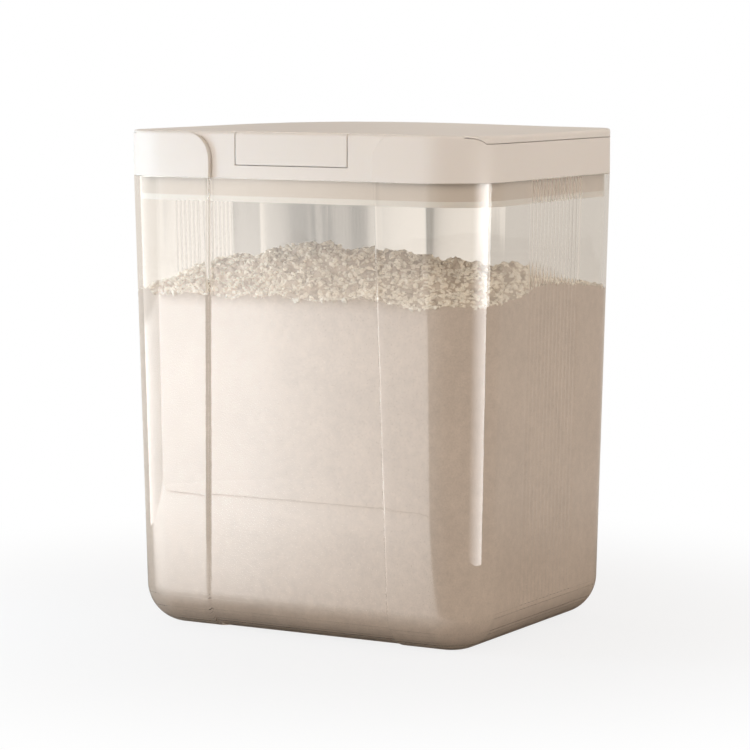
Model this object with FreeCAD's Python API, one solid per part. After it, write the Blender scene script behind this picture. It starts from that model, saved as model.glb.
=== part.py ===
# Flip-top storage bin for cereal, rice or flour: a clear moulded bin, and a two-part lid with a plug seal,
# a hinged pour cover that springs up, and a push button in the front wall that frees its latch.
# Millimetres. +X is the bin's right side, -Y its front, +Z up. The origin is under the middle of the base.
import FreeCAD, Part
import math
import os

V = FreeCAD.Vector
os.makedirs("parts", exist_ok=True)

# Overall form
width = 250.0
depth = 201.0
rim_height = 275.0            # top edge of the clear bin, where the lid's skirt rests
lid_height = 27.0             # skirt's lower edge to the top of the two ridges
corner_radius = 35.0          # in plan, at the lid
draft_angle = 1.466           # slope of the bin's walls, degrees
overrun = 4.0                 # how far a cut passes the faces that it opens
flatness = 0.01               # an edge this near a level counts as lying in it
half_share = 0.5

# Clear bin
wall = 2.8
base_wall = 3.2
bottom_fillet = 24.7
foot_width = 16.0             # standing ring round the recessed base panel
foot_recess = 1.0
panel_recess = 2.6            # front panel behind the two corner pillars
panel_half_top = 56.0         # half width of the front panel at the rim
panel_half_base = 61.9
flute_band = 68.0             # width of the fluted band in the middle of each side
flute_pitch = 4.7
flute_depth = 0.6

# Lid frame
lid_wall = 2.6
lid_edge_radius = 1.6         # rounding of the top edge, right round the lid
groove_width = 0.9            # shadow groove beside each pillar of the lid
groove_depth = 1.1
deck_wall = 2.4
seam_drop = 4.6               # seam of the cover below the top edge, along the sides
seam_gap = 0.3
cover_edge = 1.0              # the cover's thickness at its front and rear edges
ridge_depth = 8.3             # front ridge, and the rear one that carries the hinge
shoulder_run = 10.3           # stretch over which the seam falls from the ridge to the side
shoulder_radius_pillar = 16.0 # rounded top corner of a pillar
panel_half_lid = 55.5
ridge_ceiling = 3.8           # hollow under a ridge starts this far below the top
ridge_hollow = 13.5           # depth of that hollow from the outer face
moat_margin_x = 13.0          # moat's edge inside the lid's plan
moat_margin_y = 26.9
moat_radius = 18.0
moat_floor = 14.0             # floor of the moat below the top
pour_margin_x = 37.0          # pour opening's edge inside the lid's plan
pour_margin_y = 38.5
pour_radius = 7.0
lip_wall = 2.2
lip_drop = 9.0                # lip of the pour opening below the top

# Plug ring and its seal
plug_clear = 0.8              # to the bin's wall at the rim
plug_wall = 2.2
plug_foot = 10.5              # foot of the plug ring below the rim
web_height = 1.6              # underside of the web above the rim
web_wall = 2.2
seal_height = 3.5
seal_width = 4.4
seal_clear = 0.35
seal_band = 1.4
seal_band_height = 3.4
ring_screw_margin_x = 30.0
ring_screw_margin_y = 15.5
boss_radius = 3.2
screw_radius = 1.25
screw_head_radius = 2.6
screw_head_height = 1.5
screw_bite = 7.0              # thread length in the boss
screw_clear = 0.05

# Hinge
hinge_inset = 4.9             # axis in front of the rear face
hinge_drop = 2.8              # axis below the top edge
pin_radius = 1.5
pin_length = 32.0
pin_clear = 0.05
knuckle_radius = 2.9
knuckle_length = 8.7
hinge_x = 62.0                # middle of a hinge
notch_length = 18.0
notch_clear = 0.45
ear_length = 8.4
ear_drop = 7.0                # underside of an ear below the top
arm_wall = 2.2
arm_top_drop = 0.3
arm_reach = 7.0
hinge_coil_radius = 2.55
hinge_coil_bore = 1.75
hinge_coil_length = 7.4
leg_radius = 0.34
leg_inset = 0.6               # middle of the leg from the coil's end
leg_length = 5.0

# Flip cover
crown = 4.0                   # rise of the cover's middle above its edge
cover_wall = 2.2
side_clear = 0.4              # ears behind the cover's rear edge
hinge_gap = 1.2               # cover's rear edge to the rear ridge, where the edge swings up
hollow_margin_y = 21.5        # cover's hollow stops this far inside the front and rear
liner_wall = 1.8
liner_margin_x = 5.5
liner_margin_y = 22.0
liner_radius = 27.0
liner_lift = 0.1              # underside of the liner above the cover's lower edge
rib_wall = 1.2
rib_gap = 0.1
rib_short = 1.4               # a rib stops this far above the lip
gasket_inner = 0.9            # the seal reaches inside the lip, and outside it
gasket_outer = 0.9

# Latch
button_half = 38.0
button_foot = 7.6             # lower edge of the button's window above the rim
button_gap = 0.6
button_foot_gap = 0.35
button_wall = 2.4
button_travel = 2.5
button_cap_depth = 2.9        # top strip of the button, front to back
button_step = 1.4             # its rear ledge, below the strip
button_ledge_wall = 1.8
button_ledge_depth = 4.9
button_rib_wall = 2.0
button_rib_depth = 4.5
button_ear = 2.4              # ears that hold the button behind the wall
button_ear_wall = 1.6
button_ear_margin = 4.0
hook_half = 10.0
hook_wall = 2.0
hook_inset = 14.5             # front face of the hook behind the lid's front face
hook_lip = 3.0
hook_lip_height = 2.2
hook_bite = 1.5               # overlap of the slide's nose on the lip
hook_tab_half = 16.0
hook_tab_depth = 9.3
hook_tab_gap = 0.3
latch_level = 12.0            # underside of the slide above the rim
slide_half = 20.0
slide_wall = 2.4
slide_window_half = 12.0
slide_window_front = 11.3     # front edge of its window behind the lid's front face
slide_nose = 3.5
slide_tab_wall = 2.0
slide_tab_height = 4.6
slide_clear = 0.4
retainer_half = 39.0
retainer_front = 10.0
retainer_rear = 22.5
retainer_wall = 2.2
retainer_window_half = 12.5
retainer_window_front = 13.0
retainer_window_rear = 21.0
retainer_screw_x = 34.0
retainer_screw_inset = 15.5
slot_half = 12.0
slot_front = 11.9
slot_rear = 20.9
guide_half = 17.0
guide_wall = 2.0
button_spring_x = 26.0
button_spring_level = 17.0
button_spring_radius = 2.2
button_spring_bore = 1.5
spring_seat_inset = 16.0
spring_seat_wall = 2.2
spring_seat_half = 3.0
spring_seat_drop = 2.6

# Worked out from the sizes above
half_x = width * half_share
half_y = depth * half_share
front = -half_y
top = rim_height + lid_height
slope = math.tan(math.radians(draft_angle))
seam_level = top - seam_drop
seam_top = top - cover_edge
cover_front = front + ridge_depth
panel_face = front + panel_recess
hinge_y = half_y - hinge_inset
hinge_z = top - hinge_drop
lip_level = top - lip_drop
web_bottom = rim_height + web_height
web_top = web_bottom + web_wall
moat_bottom = top - moat_floor
latch_z = rim_height + latch_level
retainer_top = latch_z - slide_clear
retainer_bottom = retainer_top - retainer_wall
boss_ceiling = top - ridge_ceiling
button_back = panel_face + button_wall
button_bottom = rim_height + button_foot
nose_front = front + hook_inset + hook_wall + hook_lip - hook_bite
moat_half_x = half_x - moat_margin_x
moat_half_y = half_y - moat_margin_y
pour_half_x = half_x - pour_margin_x
pour_half_y = half_y - pour_margin_y
ring_screw_x = half_x - ring_screw_margin_x
ring_screw_y = half_y - ring_screw_margin_y
hollow_half_y = half_y - hollow_margin_y
liner_half_x = half_x - liner_margin_x
liner_half_y = half_y - liner_margin_y


def box(x0, x1, y0, y1, z0, z1):
    """Block between two corners."""
    return Part.makeBox(x1 - x0, y1 - y0, z1 - z0, V(x0, y0, z0))


def plan_wire(reach_x, y_front, y_back, radius, z):
    """Rounded rectangle, symmetric in X, at height z."""
    bend = radius * (1 - math.sqrt(half_share))
    left, right = -reach_x, reach_x
    corners = (
        (V(right, y_back - radius, z), V(right - bend, y_back - bend, z), V(right - radius, y_back, z)),
        (V(left + radius, y_back, z), V(left + bend, y_back - bend, z), V(left, y_back - radius, z)),
        (V(left, y_front + radius, z), V(left + bend, y_front + bend, z), V(left + radius, y_front, z)),
        (V(right - radius, y_front, z), V(right - bend, y_front + bend, z), V(right, y_front + radius, z)),
    )
    edges = []
    for i, (start, middle, end) in enumerate(corners):
        edges.append(Part.Arc(start, middle, end).toShape())
        edges.append(Part.LineSegment(end, corners[(i + 1) % len(corners)][0]).toShape())
    return Part.Wire(edges)


def plan_prism(reach_x, y_front, y_back, radius, z0, z1):
    """Rounded rectangle raised from z0 to z1."""
    return Part.Face(plan_wire(reach_x, y_front, y_back, radius, z0)).extrude(V(0, 0, z1 - z0))


def lid_prism(inset, z0, z1):
    """The lid's plan, moved in by inset."""
    return plan_prism(half_x - inset, front + inset, half_y - inset, corner_radius - inset, z0, z1)


def drafted(inset, extra_front, z0, z1):
    """The bin's tapered form, moved in by inset, between two heights."""
    wires = []
    for z in (z0, z1):
        lean = (rim_height - z) * slope + inset
        wires.append(plan_wire(half_x - lean, front + lean + extra_front, half_y - lean,
                               corner_radius - lean, z))
    return Part.makeLoft(wires, True, True)


def base_edges(shape, z):
    """Edges of a solid that lie flat at height z."""
    return [e for e in shape.Edges
            if abs(e.BoundBox.ZMin - z) < flatness and abs(e.BoundBox.ZMax - z) < flatness]


def side_extrusion(points, reach):
    """Closed outline in Y and Z, given as straight corners, drawn across the whole width."""
    corners = [V(-reach, y, z) for y, z in points]
    return Part.Face(Part.makePolygon(corners + corners[:1])).extrude(V(reach + reach, 0, 0))


def below_seam(gap, rear_gap):
    """Everything under the cover's seam: level along the sides, rising over a rounded shoulder to a step
    at the front and the rear ridge. The gap drops it and moves the front step out, and rear_gap moves the
    rear step out."""
    reach = half_x + overrun
    rise = seam_drop - cover_edge
    radius = (shoulder_run * shoulder_run + rise * rise) / (rise + rise)
    turn = math.asin(shoulder_run / radius) * half_share
    crest = -cover_front
    step = crest + gap
    rear_step = crest + rear_gap
    foot = crest - shoulder_run
    bend_y = crest - radius * math.sin(turn)
    bend_z = seam_top - radius + radius * math.cos(turn) - gap
    floor = -overrun
    ceiling = top + crown + overrun
    outer = half_y + overrun
    level = seam_level - gap
    crest_z = seam_top - gap

    def at(y, z):
        return V(-reach, y, z)

    edges = [
        Part.LineSegment(at(-outer, floor), at(-outer, ceiling)).toShape(),
        Part.LineSegment(at(-outer, ceiling), at(-step, ceiling)).toShape(),
        Part.LineSegment(at(-step, ceiling), at(-step, crest_z)).toShape(),
    ]
    if gap > 0:
        edges.append(Part.LineSegment(at(-step, crest_z), at(-crest, crest_z)).toShape())
    edges += [
        Part.Arc(at(-crest, crest_z), at(-bend_y, bend_z), at(-foot, level)).toShape(),
        Part.LineSegment(at(-foot, level), at(foot, level)).toShape(),
        Part.Arc(at(foot, level), at(bend_y, bend_z), at(crest, crest_z)).toShape(),
    ]
    if gap > 0:
        edges.append(Part.LineSegment(at(crest, crest_z), at(rear_step, crest_z)).toShape())
    edges += [
        Part.LineSegment(at(rear_step, crest_z), at(rear_step, ceiling)).toShape(),
        Part.LineSegment(at(rear_step, ceiling), at(outer, ceiling)).toShape(),
        Part.LineSegment(at(outer, ceiling), at(outer, floor)).toShape(),
        Part.LineSegment(at(outer, floor), at(-outer, floor)).toShape(),
    ]
    return Part.Face(Part.Wire(edges)).extrude(V(reach + reach, 0, 0))


def crowned(sink, thickness):
    """Slab whose top is pillow-crowned: level at the plan's edge, highest in the middle."""
    reach_x = half_x + overrun
    reach_y = half_y + overrun
    end_x = 1 - (reach_x / half_x) ** 2
    end_y = 1 - (reach_y / half_y) ** 2
    shares_x = (end_x, 2 - end_x, end_x)
    shares_y = (end_y, 2 - end_y, end_y)
    poles = []
    for i, share_x in enumerate(shares_x):
        row = []
        for j, share_y in enumerate(shares_y):
            row.append(V((i - 1) * reach_x, (j - 1) * reach_y, top - sink + crown * share_x * share_y))
        poles.append(row)
    surface = Part.BSplineSurface()
    surface.buildFromPolesMultsKnots(poles, (3, 3), (3, 3), (0, 1), (0, 1), False, False, 2, 2)
    return surface.toShape().extrude(V(0, 0, -thickness))


def rod_x(y, z, radius, x0, x1):
    """Round bar along X."""
    return Part.makeCylinder(radius, x1 - x0, V(x0, y, z), V(1, 0, 0))


def rod_y(x, z, radius, y0, y1):
    """Round bar along Y."""
    return Part.makeCylinder(radius, y1 - y0, V(x, y0, z), V(0, 1, 0))


def rod_z(x, y, radius, z0, z1):
    """Round bar along Z."""
    return Part.makeCylinder(radius, z1 - z0, V(x, y, z0), V(0, 0, 1))


def mirrored(shape):
    """The same shape on the other side of the middle plane."""
    return shape.mirror(V(0, 0, 0), V(1, 0, 0))


def flute_cutter():
    """Row of upright hollows for the right side's outer face, leaning with the wall."""
    count = int(round(flute_band / flute_pitch))
    pitch = flute_band / count
    surface = half_x
    start = -flute_band * half_share
    edges = []
    for i in range(count):
        y0 = start + i * pitch
        y1 = y0 + pitch
        middle = V(surface - flute_depth, (y0 + y1) * half_share, 0)
        edges.append(Part.Arc(V(surface, y0, 0), middle, V(surface, y1, 0)).toShape())
    end = start + count * pitch
    outer = surface + overrun
    edges.append(Part.LineSegment(V(surface, end, 0), V(outer, end, 0)).toShape())
    edges.append(Part.LineSegment(V(outer, end, 0), V(outer, start, 0)).toShape())
    edges.append(Part.LineSegment(V(outer, start, 0), V(surface, start, 0)).toShape())
    cutter = Part.Face(Part.Wire(edges)).extrude(V(0, 0, rim_height + overrun + overrun))
    cutter.translate(V(0, 0, -overrun))
    cutter.rotate(V(surface, 0, rim_height), V(0, 1, 0), draft_angle)
    return cutter


def make_clear_body():
    """Moulded clear bin, open at the top."""
    outer = drafted(0, 0, 0, rim_height)
    outer = outer.makeFillet(bottom_fillet, base_edges(outer, 0))
    reach = half_y + overrun
    panel = side_trapezoid(panel_half_base, panel_half_top, 0, rim_height, -reach, 0)
    moved = outer.copy()
    moved.translate(V(0, panel_recess, 0))
    outer = outer.cut(panel.cut(moved))
    inner = drafted(wall, panel_recess, base_wall, rim_height + overrun)
    inner = inner.makeFillet(bottom_fillet - wall, base_edges(inner, base_wall))
    body = outer.cut(inner)
    for cutter in (flute_cutter(), mirrored(flute_cutter())):
        body = body.cut(cutter)
    lean = rim_height * slope + bottom_fillet + foot_width
    recess = plan_prism(half_x - lean, front + lean, half_y - lean, corner_radius * half_share,
                        -overrun, foot_recess)
    return body.cut(recess)


def side_trapezoid(half_low, half_high, z0, z1, y0, y1):
    """Upright prism whose half width changes from half_low to half_high."""
    corners = [V(-half_low, y0, z0), V(half_low, y0, z0), V(half_high, y0, z1), V(-half_high, y0, z1)]
    return Part.Face(Part.makePolygon(corners + corners[:1])).extrude(V(0, y1 - y0, 0))


def lid_blank():
    """The lid's outer form at its full height: a rounded top edge, and a front panel set back."""
    blank = lid_prism(0, rim_height, top)
    blank = blank.makeFillet(lid_edge_radius, base_edges(blank, top))
    moved = blank.copy()
    moved.translate(V(0, panel_recess, 0))
    return blank.cut(lid_panel_region(0).cut(moved)).cut(pillar_grooves())


def lid_panel_region(inset):
    """Front panel's outline in the lid, which widens over the pillars' rounded top corners, drawn backwards
    to the middle plane. The inset moves it in from the pillars."""
    radius = shoulder_radius_pillar + inset
    bend = radius * (1 - math.sqrt(half_share))
    crest = top + inset
    low = rim_height - overrun
    high = crest + overrun
    x_in = panel_half_lid - inset
    x_out = x_in + radius
    y0 = front - overrun

    def at(x, z):
        return V(x, y0, z)

    edges = [
        Part.LineSegment(at(-x_in, low), at(x_in, low)).toShape(),
        Part.LineSegment(at(x_in, low), at(x_in, crest - radius)).toShape(),
        Part.Arc(at(x_in, crest - radius), at(x_in + bend, crest - bend), at(x_out, crest)).toShape(),
        Part.LineSegment(at(x_out, crest), at(x_out, high)).toShape(),
        Part.LineSegment(at(x_out, high), at(-x_out, high)).toShape(),
        Part.LineSegment(at(-x_out, high), at(-x_out, crest)).toShape(),
        Part.Arc(at(-x_out, crest), at(-x_in - bend, crest - bend), at(-x_in, crest - radius)).toShape(),
        Part.LineSegment(at(-x_in, crest - radius), at(-x_in, low)).toShape(),
    ]
    return Part.Face(Part.Wire(edges)).extrude(V(0, -y0, 0))


def pillar_grooves():
    """Shadow grooves in the lid's front panel, one along each pillar, ending below the rounded top edge."""
    grooves = lid_panel_region(0).cut(lid_panel_region(groove_width))
    deep = panel_face + groove_depth
    return grooves.common(box(-half_x, half_x, front, deep, rim_height - overrun, top - lid_edge_radius
                              - groove_width))


def hinge_spans(side):
    """Ends in X of a hinge's notch, knuckle and spring. The knuckle is on the inner side."""
    middle = hinge_x * side
    inner = middle - side * notch_length * half_share
    outer = middle + side * notch_length * half_share
    knuckle = (inner + side * notch_clear, inner + side * (notch_clear + knuckle_length))
    spring = (outer - side * (notch_clear + hinge_coil_length), outer - side * notch_clear)
    return sorted((inner, outer)), sorted(knuckle), sorted(spring)


def make_lid_frame():
    """Outer lid: skirt, ridges, moat and pour opening, with the seats of the hinge and the latch."""
    seam = below_seam(seam_gap, hinge_gap)
    frame = lid_blank().common(seam)
    under = rim_height - overrun
    deck_under = seam_level - seam_gap - deck_wall
    hollow = lid_prism(lid_wall, under, deck_under)
    front_wall = box(-half_x, half_x, front, panel_face + button_wall, under, top)
    frame = frame.cut(hollow.cut(front_wall))
    ridge_low = box(-half_x, half_x, panel_face + button_wall, front + ridge_hollow,
                    deck_under - overrun, boss_ceiling)
    ridge_rear = box(-half_x, half_x, half_y - ridge_hollow, half_y - lid_wall,
                     deck_under - overrun, boss_ceiling)
    inside = lid_prism(lid_wall, under, top)
    frame = frame.cut(ridge_low.common(inside))
    frame = frame.cut(ridge_rear.common(inside))
    tray = plan_prism(moat_half_x + deck_wall, -moat_half_y - deck_wall, moat_half_y + deck_wall,
                      moat_radius + deck_wall, moat_bottom - deck_wall, deck_under)
    lip = plan_prism(pour_half_x + lip_wall, -pour_half_y - lip_wall, pour_half_y + lip_wall,
                     pour_radius + lip_wall, web_top, lip_level)
    moat = plan_prism(moat_half_x, -moat_half_y, moat_half_y, moat_radius, moat_bottom, top + overrun)
    pour = plan_prism(pour_half_x, -pour_half_y, pour_half_y, pour_radius, under, top + overrun)
    frame = frame.fuse(tray).cut(moat).fuse(lip).cut(pour)
    for x, y in ring_screw_places():
        boss = rod_z(x, y, boss_radius, web_top, boss_ceiling)
        frame = frame.fuse(boss).cut(rod_z(x, y, screw_radius + screw_clear, web_bottom,
                                           web_top + screw_bite))
    for x, y in retainer_screw_places():
        boss = rod_z(x, y, boss_radius, retainer_top, boss_ceiling)
        frame = frame.fuse(boss).cut(rod_z(x, y, screw_radius + screw_clear, retainer_bottom,
                                           retainer_top + screw_bite))
    frame = add_hinge_seats(frame)
    frame = add_latch_seats(frame)
    return frame.common(seam)


def ring_screw_places():
    """Centres of the four screws of the plug ring."""
    return [(x, y) for x in (-ring_screw_x, ring_screw_x) for y in (-ring_screw_y, ring_screw_y)]


def retainer_screw_places():
    """Centres of the retainer's two screws."""
    y = front + retainer_screw_inset
    return [(-retainer_screw_x, y), (retainer_screw_x, y)]


def add_hinge_seats(frame):
    """Ears and notches in the rear ridge for both hinges, and the bores of the pins."""
    y_ridge = -cover_front + side_clear
    y_back = half_y - lid_wall
    for side in (-1, 1):
        notch, knuckle, spring = hinge_spans(side)
        ears = box(notch[0] - ear_length, notch[1] + ear_length, y_ridge, y_back, top - ear_drop,
                   boss_ceiling)
        frame = frame.fuse(ears)
        room_z = hinge_z - knuckle_radius - notch_clear
        reach = knuckle_radius + notch_clear
        room = box(notch[0], notch[1], hinge_y - reach - arm_reach, hinge_y, room_z, top + overrun)
        room = room.fuse(box(notch[0], notch[1], hinge_y, hinge_y + reach, hinge_z, top + overrun))
        room = room.fuse(rod_x(hinge_y, hinge_z, reach, notch[0], notch[1]))
        frame = frame.cut(room)
        middle = hinge_x * side
        bore = rod_x(hinge_y, hinge_z, pin_radius + pin_clear, middle - pin_length * half_share - pin_clear,
                     middle + pin_length * half_share + pin_clear)
        frame = frame.cut(bore)
    return frame


def add_latch_seats(frame):
    """Window of the button, slot of the hook, guides of the slide and seats of the button's springs."""
    reach = button_half + button_gap
    window = box(-reach, reach, front - overrun, panel_face + button_wall, button_bottom, top + overrun)
    room_rear = button_back + button_ledge_depth - button_wall + button_travel + button_gap
    upper = box(-reach, reach, front, room_rear, boss_ceiling - overrun * half_share, top + overrun)
    frame = frame.cut(window).cut(upper)
    slot = box(-slot_half, slot_half, front + slot_front, front + slot_rear, latch_z, top)
    frame = frame.cut(slot)
    reach = hook_tab_half + hook_tab_gap
    y0 = front + hook_inset
    frame = frame.cut(box(-reach, reach, y0 - hook_tab_gap, y0 + hook_tab_depth + hook_tab_gap,
                          seam_level + liner_lift - hook_tab_gap, top))
    for side in (-1, 1):
        x0, x1 = sorted((side * guide_half, side * (guide_half + guide_wall)))
        guide = box(x0, x1, front + retainer_front + button_travel, front + retainer_rear,
                    latch_z + slide_wall + slide_clear, boss_ceiling)
        x = side * button_spring_x
        seat = box(x - spring_seat_half, x + spring_seat_half, front + spring_seat_inset,
                   front + spring_seat_inset + spring_seat_wall,
                   rim_height + button_spring_level - button_spring_radius - spring_seat_drop * half_share,
                   boss_ceiling)
        frame = frame.fuse(guide).fuse(seat)
    return frame


def make_plug_ring():
    """Inner half of the lid: a wall that goes down into the bin and a web that closes the lid below."""
    foot = rim_height - plug_foot
    high = moat_bottom - deck_wall
    out = wall + plug_clear
    inn = out + plug_wall
    ring = plan_prism(half_x - out, front + out + panel_recess, half_y - out, corner_radius - out, foot, high)
    inside_low = plan_prism(half_x - inn, front + inn + panel_recess, half_y - inn, corner_radius - inn,
                            foot, web_bottom)
    inside_high = plan_prism(half_x - inn, front + inn + panel_recess, half_y - inn, corner_radius - inn,
                             web_top, high)
    pour = plan_prism(pour_half_x, -pour_half_y, pour_half_y, pour_radius, foot, high)
    ring = ring.cut(inside_low).cut(inside_high).cut(pour)
    reach = button_half + button_gap + button_ear
    window = box(-reach, reach, front, -moat_half_y, button_bottom - web_wall, high)
    ring = ring.cut(window)
    for x, y in ring_screw_places():
        ring = ring.cut(rod_z(x, y, screw_radius + screw_clear, foot, web_top))
    return ring


def make_body_seal():
    """Silicone ring under the plug ring's foot, with a band that grips the inside of its wall."""
    foot = rim_height - plug_foot
    low = foot - seal_height
    out = wall + plug_foot * slope + seal_height * slope + seal_clear
    inn = out + seal_width
    outer = plan_prism(half_x - out, front + out + panel_recess, half_y - out, corner_radius - out, low, foot)
    band_out = wall + plug_clear + plug_wall
    band_in = band_out + seal_band
    band = plan_prism(half_x - band_out, front + band_out + panel_recess, half_y - band_out,
                      corner_radius - band_out, foot, foot + seal_band_height)
    hole = plan_prism(half_x - inn, front + inn + panel_recess, half_y - inn, corner_radius - inn, low, foot)
    band_hole = plan_prism(half_x - band_in, front + band_in + panel_recess, half_y - band_in,
                           corner_radius - band_in, low, foot + seal_band_height)
    return outer.cut(hole).fuse(band.cut(band_hole)).removeSplitter()


def make_screw(x, y, seat):
    """Pan-head screw driven upwards, its head under the seat."""
    head = rod_z(x, y, screw_head_radius, seat - screw_head_height, seat)
    shank = rod_z(x, y, screw_radius, seat, seat + screw_bite)
    return head.fuse(shank)


def make_ring_screws():
    """Four screws of the plug ring."""
    return Part.makeCompound([make_screw(x, y, web_bottom) for x, y in ring_screw_places()])


def make_retainer_screws():
    """Two screws of the latch retainer."""
    return Part.makeCompound([make_screw(x, y, retainer_bottom) for x, y in retainer_screw_places()])


def make_latch_retainer():
    """Plate under the latch slide."""
    plate = box(-retainer_half, retainer_half, front + retainer_front, front + retainer_rear,
                retainer_bottom, retainer_top)
    window = box(-retainer_window_half, retainer_window_half, front + retainer_window_front,
                 front + retainer_window_rear, retainer_bottom, retainer_top)
    plate = plate.cut(window)
    for x, y in retainer_screw_places():
        plate = plate.cut(rod_z(x, y, screw_radius + screw_clear, retainer_bottom, retainer_top))
    return plate


def make_hinge_pin(side):
    """Steel pin of one hinge."""
    middle = hinge_x * side
    half = pin_length * half_share
    return rod_x(hinge_y, hinge_z, pin_radius, middle - half, middle + half)


def make_hinge_spring(side):
    """Torsion spring round the pin, with a leg to the ridge and a leg forward under the cover."""
    spring = hinge_spans(side)[2]
    coil = rod_x(hinge_y, hinge_z, hinge_coil_radius, spring[0], spring[1])
    coil = coil.cut(rod_x(hinge_y, hinge_z, hinge_coil_bore, spring[0], spring[1]))
    x = spring[1] - leg_inset if side > 0 else spring[0] + leg_inset
    z = hinge_z - (hinge_coil_radius + hinge_coil_bore) * half_share
    leg = rod_y(x, z, leg_radius, hinge_y - leg_length, hinge_y)
    return coil.fuse(leg)


def make_flip_cover():
    """Crowned cover shell with its two hinge knuckles."""
    cover = lid_prism(0, seam_level, top + crown + overrun).common(crowned(0, crown + seam_drop + overrun))
    rim = [e for e in cover.Edges if e.BoundBox.ZMin > seam_level + flatness]
    cover = cover.makeFillet(lid_edge_radius, [e for e in rim if e.BoundBox.ZMax < top + flatness])
    cover = cover.cut(below_seam(0, 0))
    hollow = lid_prism(cover_wall, seam_level - overrun, top + crown)
    hollow = hollow.common(crowned(cover_wall, crown + seam_drop + overrun))
    hollow = hollow.common(box(-half_x, half_x, -hollow_half_y, hollow_half_y, seam_level - overrun,
                               top + crown))
    cover = cover.cut(hollow)
    pocket = hook_tab_gap
    y0 = front + hook_inset - pocket
    cover = cover.cut(box(-hook_tab_half - pocket, hook_tab_half + pocket, y0, -hollow_half_y + overrun,
                          seam_level - overrun, seam_level + liner_lift + liner_wall))
    for side in (-1, 1):
        notch, knuckle, spring = hinge_spans(side)
        barrel = rod_x(hinge_y, hinge_z, knuckle_radius, knuckle[0], knuckle[1])
        arm = box(knuckle[0], knuckle[1], hinge_y - arm_reach, hinge_y, top - arm_top_drop - arm_wall,
                  top - arm_top_drop)
        cover = cover.fuse(barrel.fuse(arm))
        cover = cover.cut(rod_x(hinge_y, hinge_z, pin_radius + pin_clear, knuckle[0], knuckle[1]))
    return cover


def gasket_prism(grow, z0, z1):
    """Plan of the pour opening's lip, moved out by grow, between two heights."""
    return plan_prism(pour_half_x + grow, -pour_half_y - grow, pour_half_y + grow, pour_radius + grow, z0, z1)


def make_cover_liner():
    """Inner pan of the cover, with the two ribs that hold its seal and the latch hook."""
    low = seam_level + liner_lift
    plate = plan_prism(liner_half_x, -liner_half_y, liner_half_y, liner_radius, low, low + liner_wall)
    rib_low = lip_level + rib_short
    out = lip_wall + gasket_outer + rib_gap
    outer_rib = gasket_prism(out + rib_wall, rib_low, low).cut(gasket_prism(out, rib_low, low))
    inn = -gasket_inner - rib_gap
    inner_rib = gasket_prism(inn, rib_low, low).cut(gasket_prism(inn - rib_wall, rib_low, low))
    plate = plate.fuse(outer_rib).fuse(inner_rib)
    y0 = front + hook_inset
    tab = box(-hook_tab_half, hook_tab_half, y0, y0 + hook_tab_depth, low, low + liner_wall)
    lip_top = latch_z - slide_clear
    stem = box(-hook_half, hook_half, y0, y0 + hook_wall, lip_top - hook_lip_height, low)
    y1 = y0 + hook_wall
    lip = side_extrusion([(y1, lip_top), (y1 + hook_lip, lip_top), (y1 + hook_lip, lip_top - leg_radius),
                          (y1, lip_top - hook_lip_height)], hook_half)
    return plate.fuse(tab).fuse(stem).fuse(lip)


def make_cover_seal():
    """Silicone ring between the liner's ribs, resting on the pour opening's lip."""
    low = lip_level
    high = seam_level + liner_lift
    return gasket_prism(lip_wall + gasket_outer, low, high).cut(gasket_prism(-gasket_inner, low, high))


def make_push_button():
    """Button cap in the front wall: face, top strip with a lower ledge behind it, side ribs and ears."""
    low = button_bottom + button_foot_gap
    face = box(-button_half, button_half, panel_face, button_back, low, top)
    strip = box(-button_half, button_half, panel_face, panel_face + button_cap_depth,
                top - button_step - button_ledge_wall, top)
    ledge_top = top - button_step
    ledge = box(-button_half, button_half, panel_face, panel_face + button_ledge_depth,
                ledge_top - button_ledge_wall, ledge_top)
    button = face.fuse(strip).fuse(ledge).removeSplitter()
    rim = [e for e in button.Edges
           if e.BoundBox.YMax < panel_face + flatness and e.BoundBox.ZMin > top - flatness]
    button = button.makeFillet(lid_edge_radius, rim)
    for side in (-1, 1):
        x0, x1 = sorted((side * button_half, side * (button_half - button_rib_wall)))
        button = button.fuse(box(x0, x1, panel_face, panel_face + button_rib_depth,
                                 low + slide_wall, ledge_top))
        y0 = button_back + seam_gap
        e0, e1 = sorted((side * (button_half - button_rib_wall), side * (button_half + button_ear)))
        button = button.fuse(box(e0, e1, y0, y0 + button_ear_wall, low + button_ear_margin,
                                 ledge_top - button_ear_margin))
    return button


def make_latch_slide():
    """Slide behind the button, with a window for the hook and a nose that holds its lip."""
    rear = nose_front + slide_nose
    high = latch_z + slide_wall
    plate = box(-slide_half, slide_half, button_back, rear, latch_z, high)
    window = box(-slide_window_half, slide_window_half, front + slide_window_front, nose_front,
                 latch_z, high)
    plate = plate.cut(window)
    ramp = slide_wall * half_share
    chamfer = side_extrusion([(nose_front, high), (nose_front + ramp, high), (nose_front, high - ramp)],
                             slide_window_half)
    plate = plate.cut(chamfer)
    tab = box(-guide_half + guide_wall, guide_half - guide_wall, button_back, button_back + slide_tab_wall,
              high, high + slide_tab_height)
    return plate.fuse(tab)


def make_button_spring(side):
    """Compression spring between the button and its seat in the lid."""
    x = side * button_spring_x
    z = rim_height + button_spring_level
    y1 = front + spring_seat_inset
    return rod_y(x, z, button_spring_radius, button_back, y1).cut(
        rod_y(x, z, button_spring_bore, button_back, y1))


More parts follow.
